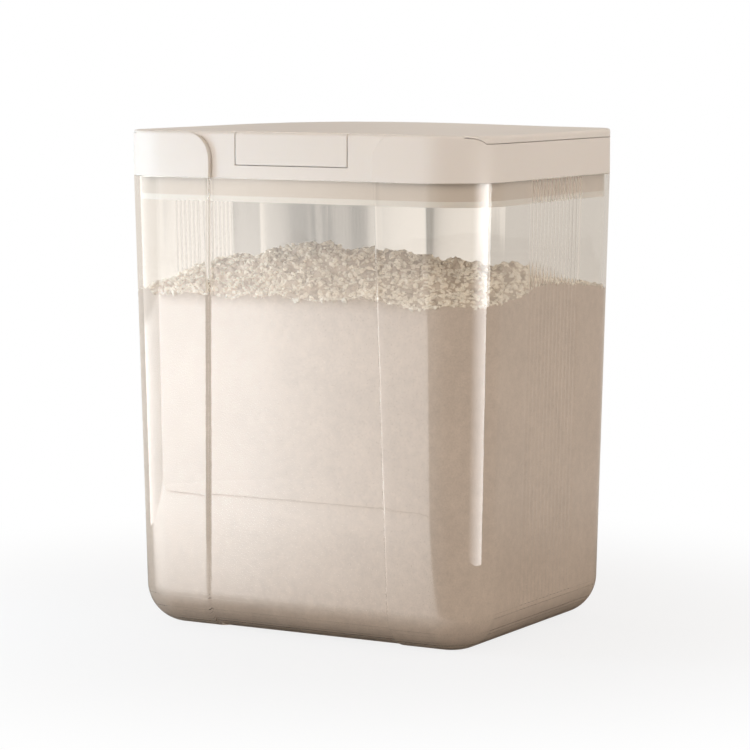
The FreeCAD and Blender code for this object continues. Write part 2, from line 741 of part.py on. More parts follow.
def build():
    """Every piece under its name."""
    return {
        "clear_body": make_clear_body(),
        "lid_frame": make_lid_frame(),
        "plug_ring": make_plug_ring(),
        "body_seal": make_body_seal(),
        "ring_screws": make_ring_screws(),
        "latch_retainer": make_latch_retainer(),
        "retainer_screws": make_retainer_screws(),
        "hinge_pin_left": make_hinge_pin(-1),
        "hinge_pin_right": make_hinge_pin(1),
        "hinge_spring_left": make_hinge_spring(-1),
        "hinge_spring_right": make_hinge_spring(1),
        "flip_cover": make_flip_cover(),
        "cover_liner": make_cover_liner(),
        "cover_seal": make_cover_seal(),
        "push_button": make_push_button(),
        "latch_slide": make_latch_slide(),
        "button_spring_left": make_button_spring(-1),
        "button_spring_right": make_button_spring(1),
    }


if __name__ == "__main__":
    for name, shape in build().items():
        shape.exportStep("parts/" + name + ".step")
        b = shape.BoundBox
        print(name, len(shape.Solids), shape.isValid(), round(shape.Volume), [round(v, 2) for v in (
            b.XMin, b.YMin, b.ZMin, b.XMax, b.YMax, b.ZMax)])
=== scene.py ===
# Looks of a flip-top storage bin: clear bin, satin lid, seals, latch and hinge parts, and the food in it
import math

import bmesh
import bpy
from bpy.props import FloatProperty, FloatVectorProperty, IntProperty, PointerProperty
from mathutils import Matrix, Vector, noise


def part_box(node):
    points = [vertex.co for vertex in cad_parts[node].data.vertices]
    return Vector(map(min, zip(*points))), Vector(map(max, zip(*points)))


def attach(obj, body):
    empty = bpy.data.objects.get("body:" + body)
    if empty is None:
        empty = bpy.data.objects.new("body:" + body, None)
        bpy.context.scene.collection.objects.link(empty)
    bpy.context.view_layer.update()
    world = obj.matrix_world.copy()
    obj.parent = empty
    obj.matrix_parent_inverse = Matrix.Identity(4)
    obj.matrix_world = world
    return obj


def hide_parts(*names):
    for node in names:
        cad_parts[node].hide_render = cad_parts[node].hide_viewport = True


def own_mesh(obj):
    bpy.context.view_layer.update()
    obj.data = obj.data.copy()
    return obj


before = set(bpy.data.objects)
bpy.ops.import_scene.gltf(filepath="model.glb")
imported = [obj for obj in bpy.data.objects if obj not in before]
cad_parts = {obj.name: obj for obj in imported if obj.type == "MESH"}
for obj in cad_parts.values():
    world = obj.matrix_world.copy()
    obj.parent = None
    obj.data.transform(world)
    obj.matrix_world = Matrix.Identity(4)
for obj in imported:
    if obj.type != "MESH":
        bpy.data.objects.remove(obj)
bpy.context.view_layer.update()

bl_info = {
    "name": "Flip-top storage bin",
    "version": (1, 0, 0),
    "blender": (4, 5, 0),
    "location": "View3D > Sidebar > Storage bin",
    "description": "Clear bin, lid finishes, hardware, food and studio of a flip-top storage bin",
    "category": "Object",
}

# Places that the frame gives, in metres
BODY_LOW, BODY_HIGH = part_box("clear_body")
HALF_X = BODY_HIGH.x
FRONT = BODY_LOW.y
BACK = BODY_HIGH.y
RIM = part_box("lid_frame")[0].z
MM = 0.001

# Steps round a corner, over a flute, over the front panel, round a pillar's edge and round the rim's edge
CORNER_STEPS, FLUTE_STEPS, PANEL_STEPS, EDGE_STEPS, RIM_STEPS = 18, 8, 12, 5, 4
# Steps round the foot and up the wall, outside and inside
OUTER_STEPS, INNER_STEPS = (18, 10), (14, 8)
# Edges sharper than this stay sharp, and a face's area counts by this weight in the shading
SHARP_ANGLE = math.radians(50)
AREA_WEIGHT = 80

# Middle and reach of the two heaps of food, as shares of the bin
HEAP_MIDDLE = (-0.16 * HALF_X, 0.0)
HEAP_REACH = (0.84 * HALF_X, 0.52 * BACK)
SHOULDER_MIDDLE = (0.78 * HALF_X, 0.05 * BACK)
SHOULDER_REACH = (0.32 * HALF_X, 0.45 * BACK)
# Lumps of three sizes: width and height as shares of the largest, and a seed
LUMP_SHARES = ((1.0, 0.62, 1.3), (0.5, 0.36, 5.1), (0.26, 0.18, 8.4))
# Wide swells, scoops and fine grain of the surface: width and height as shares of the largest lump
SWELL, SCOOP, GRAIN = (5, 0.30), (2, 0.28), (0.25, 0.05)
# Where it is broken up: middle and strength of a noise, its width in lumps, and how soon it fades to the
# right, in half widths of the bin
BROKEN_MIDDLE, BROKEN_NOISE, BROKEN_WIDTH, BROKEN_FADE = 0.55, 1.4, 4, 2.2
# Share of the roughness left where it lies flat, and the width of the flat edge at the walls, in lumps
CALM_SHARE, CALM_WIDTH = 0.12, 3
# Crumbs: least and greatest as shares of the middle size, the seed of their places, and how far they turn
CRUMB_RANGE = (0.3, 2.2)
CRUMB_SEED = 11
FULL_TURN = 6.28
# The food's sides start this far below its level, clear of the uneven edge of its surface
SIDE_START = 12 * MM

# Strength of the room's tone behind the object, from the turn ROOM_START to ROOM_END: share and strength
ROOM_START, ROOM_END = math.radians(-36.0), math.radians(-23.0)
ROOM_TONES = ((0.0, 1.3), (0.06, 1.1), (0.12, 0.95), (0.2, 0.88), (0.27, 0.7), (0.30, 0.56), (0.355, 0.52),
              (0.37, 0.6), (0.39, 0.46), (0.41, 0.7), (0.43, 0.7), (0.45, 0.52), (0.485, 0.95), (0.58, 1.4),
              (0.64, 1.45), (0.67, 1.06), (0.82, 1.06))
# Strength of the light all round, from the level to straight above: height and strength
SKY_TONES = ((0.0, 1.35), (0.3, 1.2), (0.6, 0.4), (1.0, 0.1))
# Colours of the lights
WHITE = (1.0, 1.0, 1.0)
COOL = (0.74, 1.0, 1.25)
# Tall light at the left, and strip light at the right: middle, the point it faces, width and height
KEY_PLACE = ((-0.36, -0.27, 0.20), (0.0, -0.05, 0.15), 0.12, 0.38)
STRIP_PLACE = ((0.345, -0.105, 0.13), (0.12, -0.083, 0.13), 0.15, 0.255)
STRIP_ACROSS = ((0.0, 0.0), (1.0, 1.0))
# Light card at the front left: its left and right ends, its distance in front, and its height
VEIL_LEFT, VEIL_RIGHT, VEIL_Y, VEIL_HEIGHT = -0.44, 0.0, -0.46, 0.30
# Brightness across it, from left to right, up it, and over the floor from the object to its foot: share and
# strength. Over the floor this is a painted pool of light, a glow seen only in gloss, and it slants to the
# right on its way to the object, by POOL_SLANT.
VEIL_ACROSS = ((0.36, 1.35), (0.48, 1.05), (0.6, 0.75), (0.72, 0.54), (0.84, 0.38), (0.92, 0.0))
VEIL_UP = ((0.0, 1.0), (0.46, 1.0), (0.51, 0.36), (0.62, 0.28), (1.0, 0.25))
VEIL_ALONG = ((0.0, 0.0), (0.08, 0.25), (0.3, 0.64), (0.6, 0.85), (0.97, 1.0), (1.0, 0.0))
POOL_SLANT = math.tan(math.radians(29.66))
# A second card stands at its left end, square to it, as far back as WING_Y, and lights the bin's left corner
WING_Y = -0.06
WING_ACROSS = ((0.0, 0.7), (1.0, 0.7))
# Floor: half its width, where its shadow fades, where gloss and clear walls see the room's tone instead, and
# its paint to the object and to the camera; the dim paint to the object is painted shade on the object's foot
FLOOR_REACH = 30.0
SHADOW_NEAR, SHADOW_FAR = 0.15, 0.45
TONE_NEAR, TONE_FAR = 0.16, 0.6
FOOT_SHADE_FLOOR, PALE_FLOOR = (0.26, 0.23, 0.20), (0.78, 0.78, 0.78)


def srgb(text):
    """Linear red, green and blue of an sRGB colour written as #RRGGBB."""
    channels = [int(text[i:i + 2], 16) / 255 for i in (1, 3, 5)]
    return tuple(c / 12.92 if c <= 0.04045 else ((c + 0.055) / 1.055) ** 2.4 for c in channels)


class BinSizes(bpy.types.PropertyGroup):
    """Sizes of the clear bin."""

    corner_radius: FloatProperty(name="Corner radius", description="Corner radius in plan at the rim",
                                 default=35.0 * MM, unit="LENGTH")
    draft: FloatProperty(name="Draft", description="Slope of the walls", default=math.radians(1.466),
                         subtype="ANGLE", unit="ROTATION")
    wall: FloatProperty(name="Wall", description="Wall thickness", default=2.8 * MM, unit="LENGTH")
    base_wall: FloatProperty(name="Base wall", description="Thickness of the base", default=3.2 * MM,
                             unit="LENGTH")
    bottom_fillet: FloatProperty(name="Bottom fillet", description="Rounding between the walls and the base",
                                 default=24.7 * MM, unit="LENGTH")
    recess: FloatProperty(name="Front recess", description="Front panel behind the two pillars",
                          default=2.6 * MM, unit="LENGTH")
    panel_half_top: FloatProperty(name="Panel half width, top", description="Half the front panel at the rim",
                                  default=56.0 * MM, unit="LENGTH")
    panel_half_base: FloatProperty(name="Panel half width, base", default=61.9 * MM, unit="LENGTH",
                                   description="Half the front panel at the base")
    pillar_round: FloatProperty(name="Pillar edge", description="Rounding of a pillar's edge",
                                default=2.0 * MM, unit="LENGTH")
    pillar_cove: FloatProperty(name="Pillar cove", default=0.5 * MM, unit="LENGTH",
                               description="Rounding in the corner behind a pillar's edge")
    flute_band: FloatProperty(name="Fluted band", description="Width of the fluted band on each side",
                              default=68.0 * MM, unit="LENGTH")
    flute_count: IntProperty(name="Flutes", description="Number of flutes on each side", default=14)
    flute_depth: FloatProperty(name="Flute depth", description="Depth of a flute", default=0.35 * MM,
                               unit="LENGTH")
    rim_round: FloatProperty(name="Rim edge", description="Rounding of the rim's edges", default=0.5 * MM,
                             unit="LENGTH")
    foot_width: FloatProperty(name="Foot ring", description="Width of the standing ring", default=16.0 * MM,
                              unit="LENGTH")
    foot_recess: FloatProperty(name="Base recess", description="Base panel above the standing ring",
                               default=1.0 * MM, unit="LENGTH")


class FoodSizes(bpy.types.PropertyGroup):
    """Sizes of the food in the bin."""

    press: FloatProperty(name="Press", description="How far the food presses into the wall's inner face",
                         default=0.05 * MM, unit="LENGTH")
    level: FloatProperty(name="Level", description="Height of the food at the walls", default=203.0 * MM,
                         unit="LENGTH")
    mound: FloatProperty(name="Mound", description="Rise of the mound in the middle", default=23.0 * MM,
                         unit="LENGTH")
    cell: FloatProperty(name="Cell", description="Spacing of the surface's points", default=0.95 * MM,
                        unit="LENGTH")
    shoulder: FloatProperty(name="Shoulder", description="Rise of the lower heap at the right",
                            default=7.0 * MM, unit="LENGTH")
    lump: FloatProperty(name="Lump", description="Width of the largest lumps", default=6.5 * MM,
                        unit="LENGTH")
    crumb_count: IntProperty(name="Crumbs", description="Loose crumbs on the surface", default=5000)
    crumb_size: FloatProperty(name="Crumb size", description="Middle size of a crumb", default=1.9 * MM,
                              unit="LENGTH")


class Finishes(bpy.types.PropertyGroup):
    """Colours of the materials, linear."""

    lid: FloatVectorProperty(name="Lid", description="Satin lid plastic", default=srgb("#F0E9E1"),
                             subtype="COLOR", size=3, min=0, max=1)
    inner: FloatVectorProperty(name="Inner plastic", description="Plug ring, liner and latch",
                               default=srgb("#DCD0C3"), subtype="COLOR", size=3, min=0, max=1)
    seal: FloatVectorProperty(name="Silicone", description="Seals", default=srgb("#F1ECE4"),
                              subtype="COLOR", size=3, min=0, max=1)
    clear: FloatVectorProperty(name="Clear plastic", description="Tint of the bin", default=srgb("#FBFAF8"),
                               subtype="COLOR", size=3, min=0, max=1)
    # painted light: the loose heap is lighter than the pressed flour, to make up for the light that the lid
    # keeps off it
    loose: FloatVectorProperty(name="Loose food", description="Colour of the loose heap",
                               default=srgb("#DACCBC"), subtype="COLOR", size=3, min=0, max=1)
    # painted light: the crumbs are a lighter copy of the heap's flour, as if lit where the heap lies in shade
    crumb: FloatVectorProperty(name="Crumbs", description="Colour of the crumbs on the heap",
                               default=srgb("#F3EBDD"), subtype="COLOR", size=3, min=0, max=1)
    pressed: FloatVectorProperty(name="Pressed food", description="Colour of the food pressed on the wall",
                                 default=srgb("#CFC0B2"), subtype="COLOR", size=3, min=0, max=1)


class Studio(bpy.types.PropertyGroup):
    """Camera and lights."""

    azimuth: FloatProperty(name="Azimuth", description="Camera to the right of the front",
                           default=math.radians(29.66), subtype="ANGLE", unit="ROTATION")
    elevation: FloatProperty(name="Elevation", description="Camera above the level",
                             default=math.radians(6.276), subtype="ANGLE", unit="ROTATION")
    distance: FloatProperty(name="Distance", description="Camera to its target", default=1.8944,
                            unit="LENGTH")
    target: FloatVectorProperty(name="Target", description="Point that the camera looks at",
                                default=(0.78 * MM, 0.45 * MM, 150.68 * MM), subtype="XYZ", size=3)
    lens: FloatProperty(name="Lens", description="Focal length in millimetres on a 36 mm sensor",
                        default=147.38)
    key: FloatProperty(name="Key", description="Radiance of the tall light at the left", default=4.8)
    veil: FloatProperty(name="Veil", description="Radiance of the low light at the front left", default=6.4)
    strip: FloatProperty(name="Strip", description="Radiance of the strip light at the right", default=9.2)
    ambient: FloatVectorProperty(name="Ambient", description="Light from all round",
                                 default=(1.5, 1.385, 1.29), subtype="COLOR", size=3, min=0, max=2)
    room: FloatVectorProperty(name="Room", description="Room seen through the clear walls and in gloss",
                              default=srgb("#CEC7BF"), subtype="COLOR", size=3, min=0, max=1)


# Node and mesh helpers


def add(tree, kind, inputs=None, **settings):
    """Adds a node to a tree with its settings, and fills or links its inputs."""
    node = tree.nodes.new(kind)
    for key, value in settings.items():
        setattr(node, key, value)
    for key, value in (inputs or {}).items():
        socket = node.inputs[key]
        if isinstance(value, bpy.types.NodeSocket):
            tree.links.new(value, socket)
        else:
            socket.default_value = value
    return node


def opaque(colour):
    """A colour with full alpha."""
    return (*colour, 1.0)


def blank_material(name):
    """A new material with an empty node tree, and that tree."""
    material = bpy.data.materials.new(name)
    material.use_nodes = True
    material.node_tree.nodes.clear()
    return material, material.node_tree


def place(tree):
    """Object coordinates."""
    return add(tree, "ShaderNodeTexCoord").outputs["Object"]


def link_surface(tree, shader):
    """Joins a shader to the material's output."""
    add(tree, "ShaderNodeOutputMaterial", {"Surface": shader})


def ramp(tree, factor, stops):
    """Colour ramp through stops of position and colour."""
    node = add(tree, "ShaderNodeValToRGB", {"Fac": factor})
    elements = node.color_ramp.elements
    while len(elements) < len(stops):
        elements.new(0.5)
    for element, (position, colour) in zip(elements, stops):
        element.position = position
        element.color = opaque(colour)
    return node.outputs["Color"]


def strengths(tree, factor, stops):
    """Strength through stops of share and strength, smooth between them."""
    node = add(tree, "ShaderNodeFloatCurve", {"Value": factor})
    curve = node.mapping.curves[0]
    curve.points[0].location = (0.0, stops[0][1])
    curve.points[1].location = (1.0, stops[-1][1])
    for share, strength in stops:
        curve.points.new(share, strength)
    node.mapping.use_clip = False
    node.mapping.update()
    return node.outputs["Value"]


def reckon(tree, operation, *values):
    """Result of a sum on numbers or sockets."""
    return add(tree, "ShaderNodeMath", dict(enumerate(values)), operation=operation).outputs[0]


def blend(tree, factor, a, b, **settings):
    """Mix of two colours."""
    return add(tree, "ShaderNodeMix", {"Factor": factor, "A": a, "B": b}, data_type="RGBA",
               **settings).outputs["Result"]


def mirrored(tree):
    """1 for light seen by gloss or through clear plastic, otherwise 0."""
    path = add(tree, "ShaderNodeLightPath").outputs
    return reckon(tree, "MAXIMUM", path["Is Transmission Ray"], path["Is Glossy Ray"])


def first_wall(tree):
    """1 for light that has crossed one wall at most, in and out, and 0 for the echoes between the walls."""
    depth = add(tree, "ShaderNodeLightPath").outputs["Transmission Depth"]
    return reckon(tree, "LESS_THAN", depth, 2.5)


def share_colour(colour, share):
    """A colour made lighter or darker by a share."""
    return tuple(min(1.0, c * share) for c in colour)


# Materials


def satin_lid_plastic(finishes):
    """Injection-moulded polypropylene with a fine satin spark finish: soft wide gloss, even warm white."""
    material, tree = blank_material("satin_polypropylene")
    at = place(tree)
    cloud = add(tree, "ShaderNodeTexNoise", {"Vector": at, "Scale": 9.0, "Detail": 3.0})
    colour = ramp(tree, cloud.outputs["Fac"], [(0.3, share_colour(finishes.lid, 0.985)),
                                               (0.7, share_colour(finishes.lid, 1.01))])
    # the spark finish's grain is about 0.1 mm, drawn at 0.5 mm so that it shows
    grain = add(tree, "ShaderNodeTexNoise", {"Vector": at, "Scale": 2000.0, "Detail": 2.0})
    # the mould's parting edges are rounded by about 0.8 mm
    soft = add(tree, "ShaderNodeBevel", {"Radius": 0.8 * MM}, samples=6)
    bump = add(tree, "ShaderNodeBump", {"Height": grain.outputs["Fac"], "Strength": 0.05, "Distance": 0.0001,
                                        "Normal": soft.outputs["Normal"]})
    gloss = add(tree, "ShaderNodeMapRange", {"Value": cloud.outputs["Fac"], "To Min": 0.36, "To Max": 0.44})
    shader = add(tree, "ShaderNodeBsdfPrincipled", {
        "Base Color": colour, "Roughness": gloss.outputs["Result"], "IOR": 1.49,
        "Normal": bump.outputs["Normal"], "Subsurface Weight": 0.08,
        "Subsurface Radius": (0.004, 0.003, 0.002), "Subsurface Scale": 0.6})
    link_surface(tree, shader.outputs["BSDF"])
    return material


def smooth_inner_plastic(finishes):
    """Injection-moulded polypropylene from a polished mould: faint flow marks, closer gloss than the lid."""
    material, tree = blank_material("polished_polypropylene")
    at = place(tree)
    flow = add(tree, "ShaderNodeTexNoise", {"Vector": at, "Scale": 25.0, "Detail": 4.0, "Distortion": 0.6})
    colour = ramp(tree, flow.outputs["Fac"], [(0.3, share_colour(finishes.inner, 0.96)),
                                              (0.7, share_colour(finishes.inner, 1.02))])
    bump = add(tree, "ShaderNodeBump", {"Height": flow.outputs["Fac"], "Strength": 0.05, "Distance": 0.0004})
    shader = add(tree, "ShaderNodeBsdfPrincipled", {
        "Base Color": colour, "Roughness": 0.28, "IOR": 1.49, "Normal": bump.outputs["Normal"]})
    link_surface(tree, shader.outputs["BSDF"])
    return material


def silicone_rubber(finishes):
    """Compression-moulded milky silicone: dull, with light that soaks in at the edges."""
    material, tree = blank_material("milky_silicone")
    at = place(tree)
    dust = add(tree, "ShaderNodeTexNoise", {"Vector": at, "Scale": 400.0, "Detail": 3.0})
    colour = ramp(tree, dust.outputs["Fac"], [(0.3, share_colour(finishes.seal, 0.97)),
                                              (0.7, share_colour(finishes.seal, 1.0))])
    bump = add(tree, "ShaderNodeBump", {"Height": dust.outputs["Fac"], "Strength": 0.1, "Distance": 0.0002})
    shader = add(tree, "ShaderNodeBsdfPrincipled", {
        "Base Color": colour, "Roughness": 0.55, "IOR": 1.41, "Normal": bump.outputs["Normal"],
        "Subsurface Weight": 0.3, "Subsurface Radius": (0.004, 0.0035, 0.003), "Subsurface Scale": 0.5})
    link_surface(tree, shader.outputs["BSDF"])
    return material


def clear_plastic(finishes):
    """Injection-moulded clear styrene copolymer: polished, with the slight waves that a mould leaves."""
    material, tree = blank_material("clear_styrene")
    at = place(tree)
    wave = add(tree, "ShaderNodeTexNoise", {"Vector": at, "Scale": 14.0, "Detail": 1.0})
    bump = add(tree, "ShaderNodeBump", {"Height": wave.outputs["Fac"], "Strength": 0.02, "Distance": 0.0006})
    shader = add(tree, "ShaderNodeBsdfPrincipled", {
        "Base Color": opaque(finishes.clear), "Roughness": 0.015, "IOR": 1.53, "Transmission Weight": 1.0,
        "Normal": bump.outputs["Normal"]})
    # light reaches the food through the walls, which a refracting wall would keep in shadow
    path = add(tree, "ShaderNodeLightPath")
    soft = reckon(tree, "MAXIMUM", path.outputs["Is Shadow Ray"], path.outputs["Is Diffuse Ray"])
    straight = add(tree, "ShaderNodeBsdfTransparent", {"Color": opaque(srgb("#F9F8F6"))})
    # a path that has crossed many walls goes straight on, so that no edge turns black
    deep = reckon(tree, "GREATER_THAN", path.outputs["Ray Depth"], 4.5)
    mix = add(tree, "ShaderNodeMixShader", {0: reckon(tree, "MAXIMUM", soft, deep), 1: shader.outputs["BSDF"],
                                            2: straight.outputs["BSDF"]})
    link_surface(tree, mix.outputs["Shader"])
    return material


def milled_flour(name, colour, contrast):
    """Stone-milled wheat flour: matt powder, with paler caked patches and darker hollows. The contrast is the
    share by which a patch differs from the main colour."""
    material, tree = blank_material(name)
    at = place(tree)
    # caked patches are about 6 mm across, clouds about 40 mm, and the powder's specks 0.9 mm
    patch = add(tree, "ShaderNodeTexNoise", {"Vector": at, "Scale": 190.0, "Detail": 7.0, "Roughness": 0.7})
    cloud = add(tree, "ShaderNodeTexNoise", {"Vector": at, "Scale": 24.0, "Detail": 4.0, "Roughness": 0.55})
    speck = add(tree, "ShaderNodeTexNoise", {"Vector": at, "Scale": 1100.0, "Detail": 2.0, "Roughness": 0.7})
    dark, pale = share_colour(colour, 1 - contrast), share_colour(colour, 1 + contrast)
    caked = ramp(tree, patch.outputs["Fac"], [(0.34, dark), (0.52, colour), (0.70, pale)])
    broad = ramp(tree, cloud.outputs["Fac"], [(0.35, dark), (0.65, pale)])
    mixed = blend(tree, 0.4, caked, broad)
    fine = add(tree, "ShaderNodeMapRange", {"Value": speck.outputs["Fac"], "From Min": 0.3, "From Max": 0.7,
                                            "To Min": 0.93, "To Max": 1.05})
    powder = blend(tree, 1.0, mixed, fine.outputs["Result"], blend_type="MULTIPLY")
    bump = add(tree, "ShaderNodeBump", {"Height": speck.outputs["Fac"], "Strength": 0.25, "Distance": 0.0004})
    shader = add(tree, "ShaderNodeBsdfPrincipled", {
        "Base Color": powder, "Roughness": 0.95, "Specular IOR Level": 0.1,
        "Normal": bump.outputs["Normal"]})
    link_surface(tree, shader.outputs["BSDF"])
    return material


def drawn_steel(name, roughness):
    """Cold-drawn stainless steel: bright, with fine lines along the drawing direction."""
    material, tree = blank_material(name)
    at = place(tree)
    stretched = add(tree, "ShaderNodeMapping", {"Vector": at, "Scale": (0.05, 1.0, 1.0)})
    line = add(tree, "ShaderNodeTexNoise", {"Vector": stretched.outputs["Vector"], "Scale": 3000.0,
                                            "Detail": 2.0})
    gloss = add(tree, "ShaderNodeMapRange", {"Value": line.outputs["Fac"], "To Min": roughness * 0.8,
                                             "To Max": roughness * 1.2})
    shader = add(tree, "ShaderNodeBsdfPrincipled", {
        "Base Color": opaque(srgb("#C9C8C6")), "Metallic": 1.0, "Roughness": gloss.outputs["Result"]})
    link_surface(tree, shader.outputs["BSDF"])
    return material


# Forms


def profile(reach, floor, fillet, draft, steps, rises):
    """Half section of a leaning wall with a rounded foot: pairs of radius and height, from the floor to the
    rim. The radius is counted from the centre of the plan's corner, and is reach at the rim."""
    slope = math.tan(draft)
    centre_z = floor + fillet
    centre_r = reach - (RIM - centre_z) * slope - fillet / math.cos(draft)
    rings = []
    for i in range(steps + 1):
        turn = (math.pi / 2 - draft) * i / steps
        rings.append((centre_r + fillet * math.sin(turn), centre_z - fillet * math.cos(turn)))
    start = rings[-1][1]
    for i in range(1, rises + 1):
        z = start + (RIM - start) * i / rises
        rings.append((reach - (RIM - z) * slope, z))
    return rings


def panel_half(sizes, z):
    """Half width of the front panel at a height."""
    return sizes.panel_half_base + (sizes.panel_half_top - sizes.panel_half_base) * z / RIM


def edge_steps(sizes):
    """Profile of a pillar's edge: offsets from the edge, outwards positive, and depths behind the pillar."""
    r, c, depth = sizes.pillar_round, sizes.pillar_cove, sizes.recess
    steps = []
    turns = [math.pi / 2 * i / EDGE_STEPS for i in range(EDGE_STEPS + 1)]
    for turn in turns:
        steps.append((r - r * math.sin(turn), r - r * math.cos(turn)))
    for turn in turns:
        steps.append((-c + c * math.cos(turn), depth - c + c * math.sin(turn)))
    return steps


def stations(sizes):
    """Places round the bin's plan, anticlockwise from above, each a dict with its kind, its centre, its
    outward direction, and what shapes it."""
    bend_x = HALF_X - sizes.corner_radius
    back_y = BACK - sizes.corner_radius
    front_y = FRONT + sizes.corner_radius
    found = []

    def corner(sx, sy, start):
        cy = back_y if sy > 0 else front_y
        for i in range(CORNER_STEPS + 1):
            turn = start + math.pi / 2 * i / CORNER_STEPS
            found.append({"kind": "plain", "x": sx * bend_x, "y": cy, "n": (math.cos(turn), math.sin(turn))})

    def side(sx):
        half = sizes.flute_band / 2
        start, end = (front_y, back_y) if sx > 0 else (back_y, front_y)
        pitch = sizes.flute_band / sizes.flute_count
        x = sx * bend_x
        for share in (0.33, 0.67):
            found.append({"kind": "plain", "x": x, "y": start + (-sx * half - start) * share, "n": (sx, 0)})
        for i in range(sizes.flute_count * FLUTE_STEPS + 1):
            across = (i % FLUTE_STEPS) / FLUTE_STEPS
            dip = sizes.flute_depth * (1 - (2 * across - 1) ** 2)
            y = -sx * half + sx * pitch * i / FLUTE_STEPS
            found.append({"kind": "flute", "x": x, "y": y, "n": (sx, 0), "dip": dip})
        for share in (0.33, 0.67):
            found.append({"kind": "plain", "x": x, "y": sx * half + (end - sx * half) * share, "n": (sx, 0)})

    def front(kind, **facts):
        found.append({"kind": kind, "y": front_y, "n": (0, -1), **facts})

    # front, from the left corner to the right one
    corner(-1, -1, math.pi)
    for share in (0.3, 0.6, 0.85):
        front("pillar", side=-1, share=share)
    for offset, depth in edge_steps(sizes):
        front("edge", side=-1, offset=offset, depth=depth)
    for i in range(1, PANEL_STEPS):
        front("panel", share=-1 + 2 * i / PANEL_STEPS)
    for offset, depth in reversed(edge_steps(sizes)):
        front("edge", side=1, offset=offset, depth=depth)
    for share in (0.85, 0.6, 0.3):
        front("pillar", side=1, share=share)
    corner(1, -1, -math.pi / 2)
    side(1)
    corner(1, 1, 0)
    for share in (0.25, 0.5, 0.75):
        found.append({"kind": "plain", "x": bend_x * (1 - 2 * share), "y": back_y, "n": (0, 1)})
    corner(-1, 1, math.pi / 2)
    side(-1)
    return found


def station_point(sizes, s, radius, z, wall_radius, inside):
    """Where a station's outline passes at one ring. wall_radius is the leaning wall's radius at that height
    without the rounded foot, which the flutes are cut from."""
    bend_x = HALF_X - sizes.corner_radius
    shift = sizes.recess if inside else 0
    nx, ny = s["n"]
    y = s["y"] + (shift if ny < 0 or s["y"] < FRONT + sizes.corner_radius + MM else 0)
    if s["kind"] == "plain":
        return Vector((s["x"] + nx * radius, y + ny * radius, z))
    if s["kind"] == "flute":
        reach = radius if inside else min(radius, wall_radius - s["dip"])
        return Vector((s["x"] + nx * reach, s["y"], z))
    half = panel_half(sizes, z)
    if s["kind"] == "pillar":
        outer = half + sizes.pillar_round
        x = s["side"] * (bend_x + (outer - bend_x) * s["share"])
        return Vector((x, y - radius, z))
    if s["kind"] == "edge":
        depth = 0 if inside else s["depth"]
        return Vector((s["side"] * (half + s["offset"]), y - radius + depth, z))
    depth = 0 if inside else sizes.recess
    return Vector((s["share"] * (half - sizes.pillar_cove), y - radius + depth, z))


def loft(bm, rings):
    """Quads between rings of as many points each."""
    rows = [[bm.verts.new(p) for p in ring] for ring in rings]
    for low, high in zip(rows, rows[1:]):
        count = len(low)
        for i in range(count):
            j = (i + 1) % count
            bm.faces.new((low[i], low[j], high[j], high[i]))
    return rows


def new_piece(name, bm, material, smooth_angle=None):
    """Turns a bmesh into an object at the origin, with a material and smooth shading."""
    bmesh.ops.recalc_face_normals(bm, faces=bm.faces)
    mesh = bpy.data.meshes.new(name)
    bm.to_mesh(mesh)
    bm.free()
    mesh.materials.append(material)
    mesh.shade_smooth()
    if smooth_angle is not None:
        mesh.set_sharp_from_angle(angle=smooth_angle)
    piece = bpy.data.objects.new(name, mesh)
    bpy.context.scene.collection.objects.link(piece)
    return piece


def settle(piece):
    """Applies a piece's modifiers, so that it is a plain mesh."""
    graph = bpy.context.evaluated_depsgraph_get()
    mesh = bpy.data.meshes.new_from_object(piece.evaluated_get(graph))
    piece.modifiers.clear()
    piece.data = mesh
    return piece


def weight_normals(piece):
    """Shades by the faces' areas, so that flat walls stay flat beside small roundings."""
    shade = piece.modifiers.new("Even walls", "WEIGHTED_NORMAL")
    shade.keep_sharp = True
    shade.weight = AREA_WEIGHT
    return settle(piece)


def clear_bin_mesh(sizes):
    """The bin's wall as one closed mesh: outside with pillars and flutes, rim, inside, base with its ring."""
    bm = bmesh.new()
    plan = stations(sizes)
    outer = profile(sizes.corner_radius, 0.0, sizes.bottom_fillet, sizes.draft, *OUTER_STEPS)
    inner = profile(sizes.corner_radius - sizes.wall, sizes.base_wall, sizes.bottom_fillet - sizes.wall,
                    sizes.draft, *INNER_STEPS)
    slope = math.tan(sizes.draft)
    edge = sizes.rim_round

    def ring(radius, z, inside, wall_radius=None):
        wall_radius = radius if wall_radius is None else wall_radius
        return [station_point(sizes, s, radius, z, wall_radius, inside) for s in plan]

    # standing ring and the raised base panel inside it
    bend_x, bend_y = HALF_X - sizes.corner_radius, BACK - sizes.corner_radius
    base = outer[0][0]
    foot = base - sizes.foot_width
    mid_y = (FRONT + BACK) / 2
    panel = [(p.x * (bend_x + foot) / (bend_x + base),
              mid_y + (p.y - mid_y) * (bend_y + foot) / (bend_y + base)) for p in ring(base, 0.0, False)]
    rings = [[Vector((x, y, z)) for x, y in panel] for z in (sizes.foot_recess, 0.0)]
    for radius, z in outer[:-1]:
        rings.append(ring(radius, z, False, sizes.corner_radius - (RIM - z) * slope))
    # rounded rim, up its outer edge and down its inner one
    turns = [math.pi / 2 * i / RIM_STEPS for i in range(RIM_STEPS + 1)]
    for turn in turns:
        z = RIM - edge + edge * math.sin(turn)
        rings.append(ring(sizes.corner_radius - edge + edge * math.cos(turn), z, False))
    for turn in turns:
        z = RIM - edge + edge * math.cos(turn)
        rings.append(ring(sizes.corner_radius - sizes.wall + edge - edge * math.sin(turn), z, True))
    for radius, z in reversed(inner[:-1]):
        rings.append(ring(radius, z, True))
    rows = loft(bm, rings)
    bm.faces.new(rows[0])
    bm.faces.new(rows[-1])
    return bm


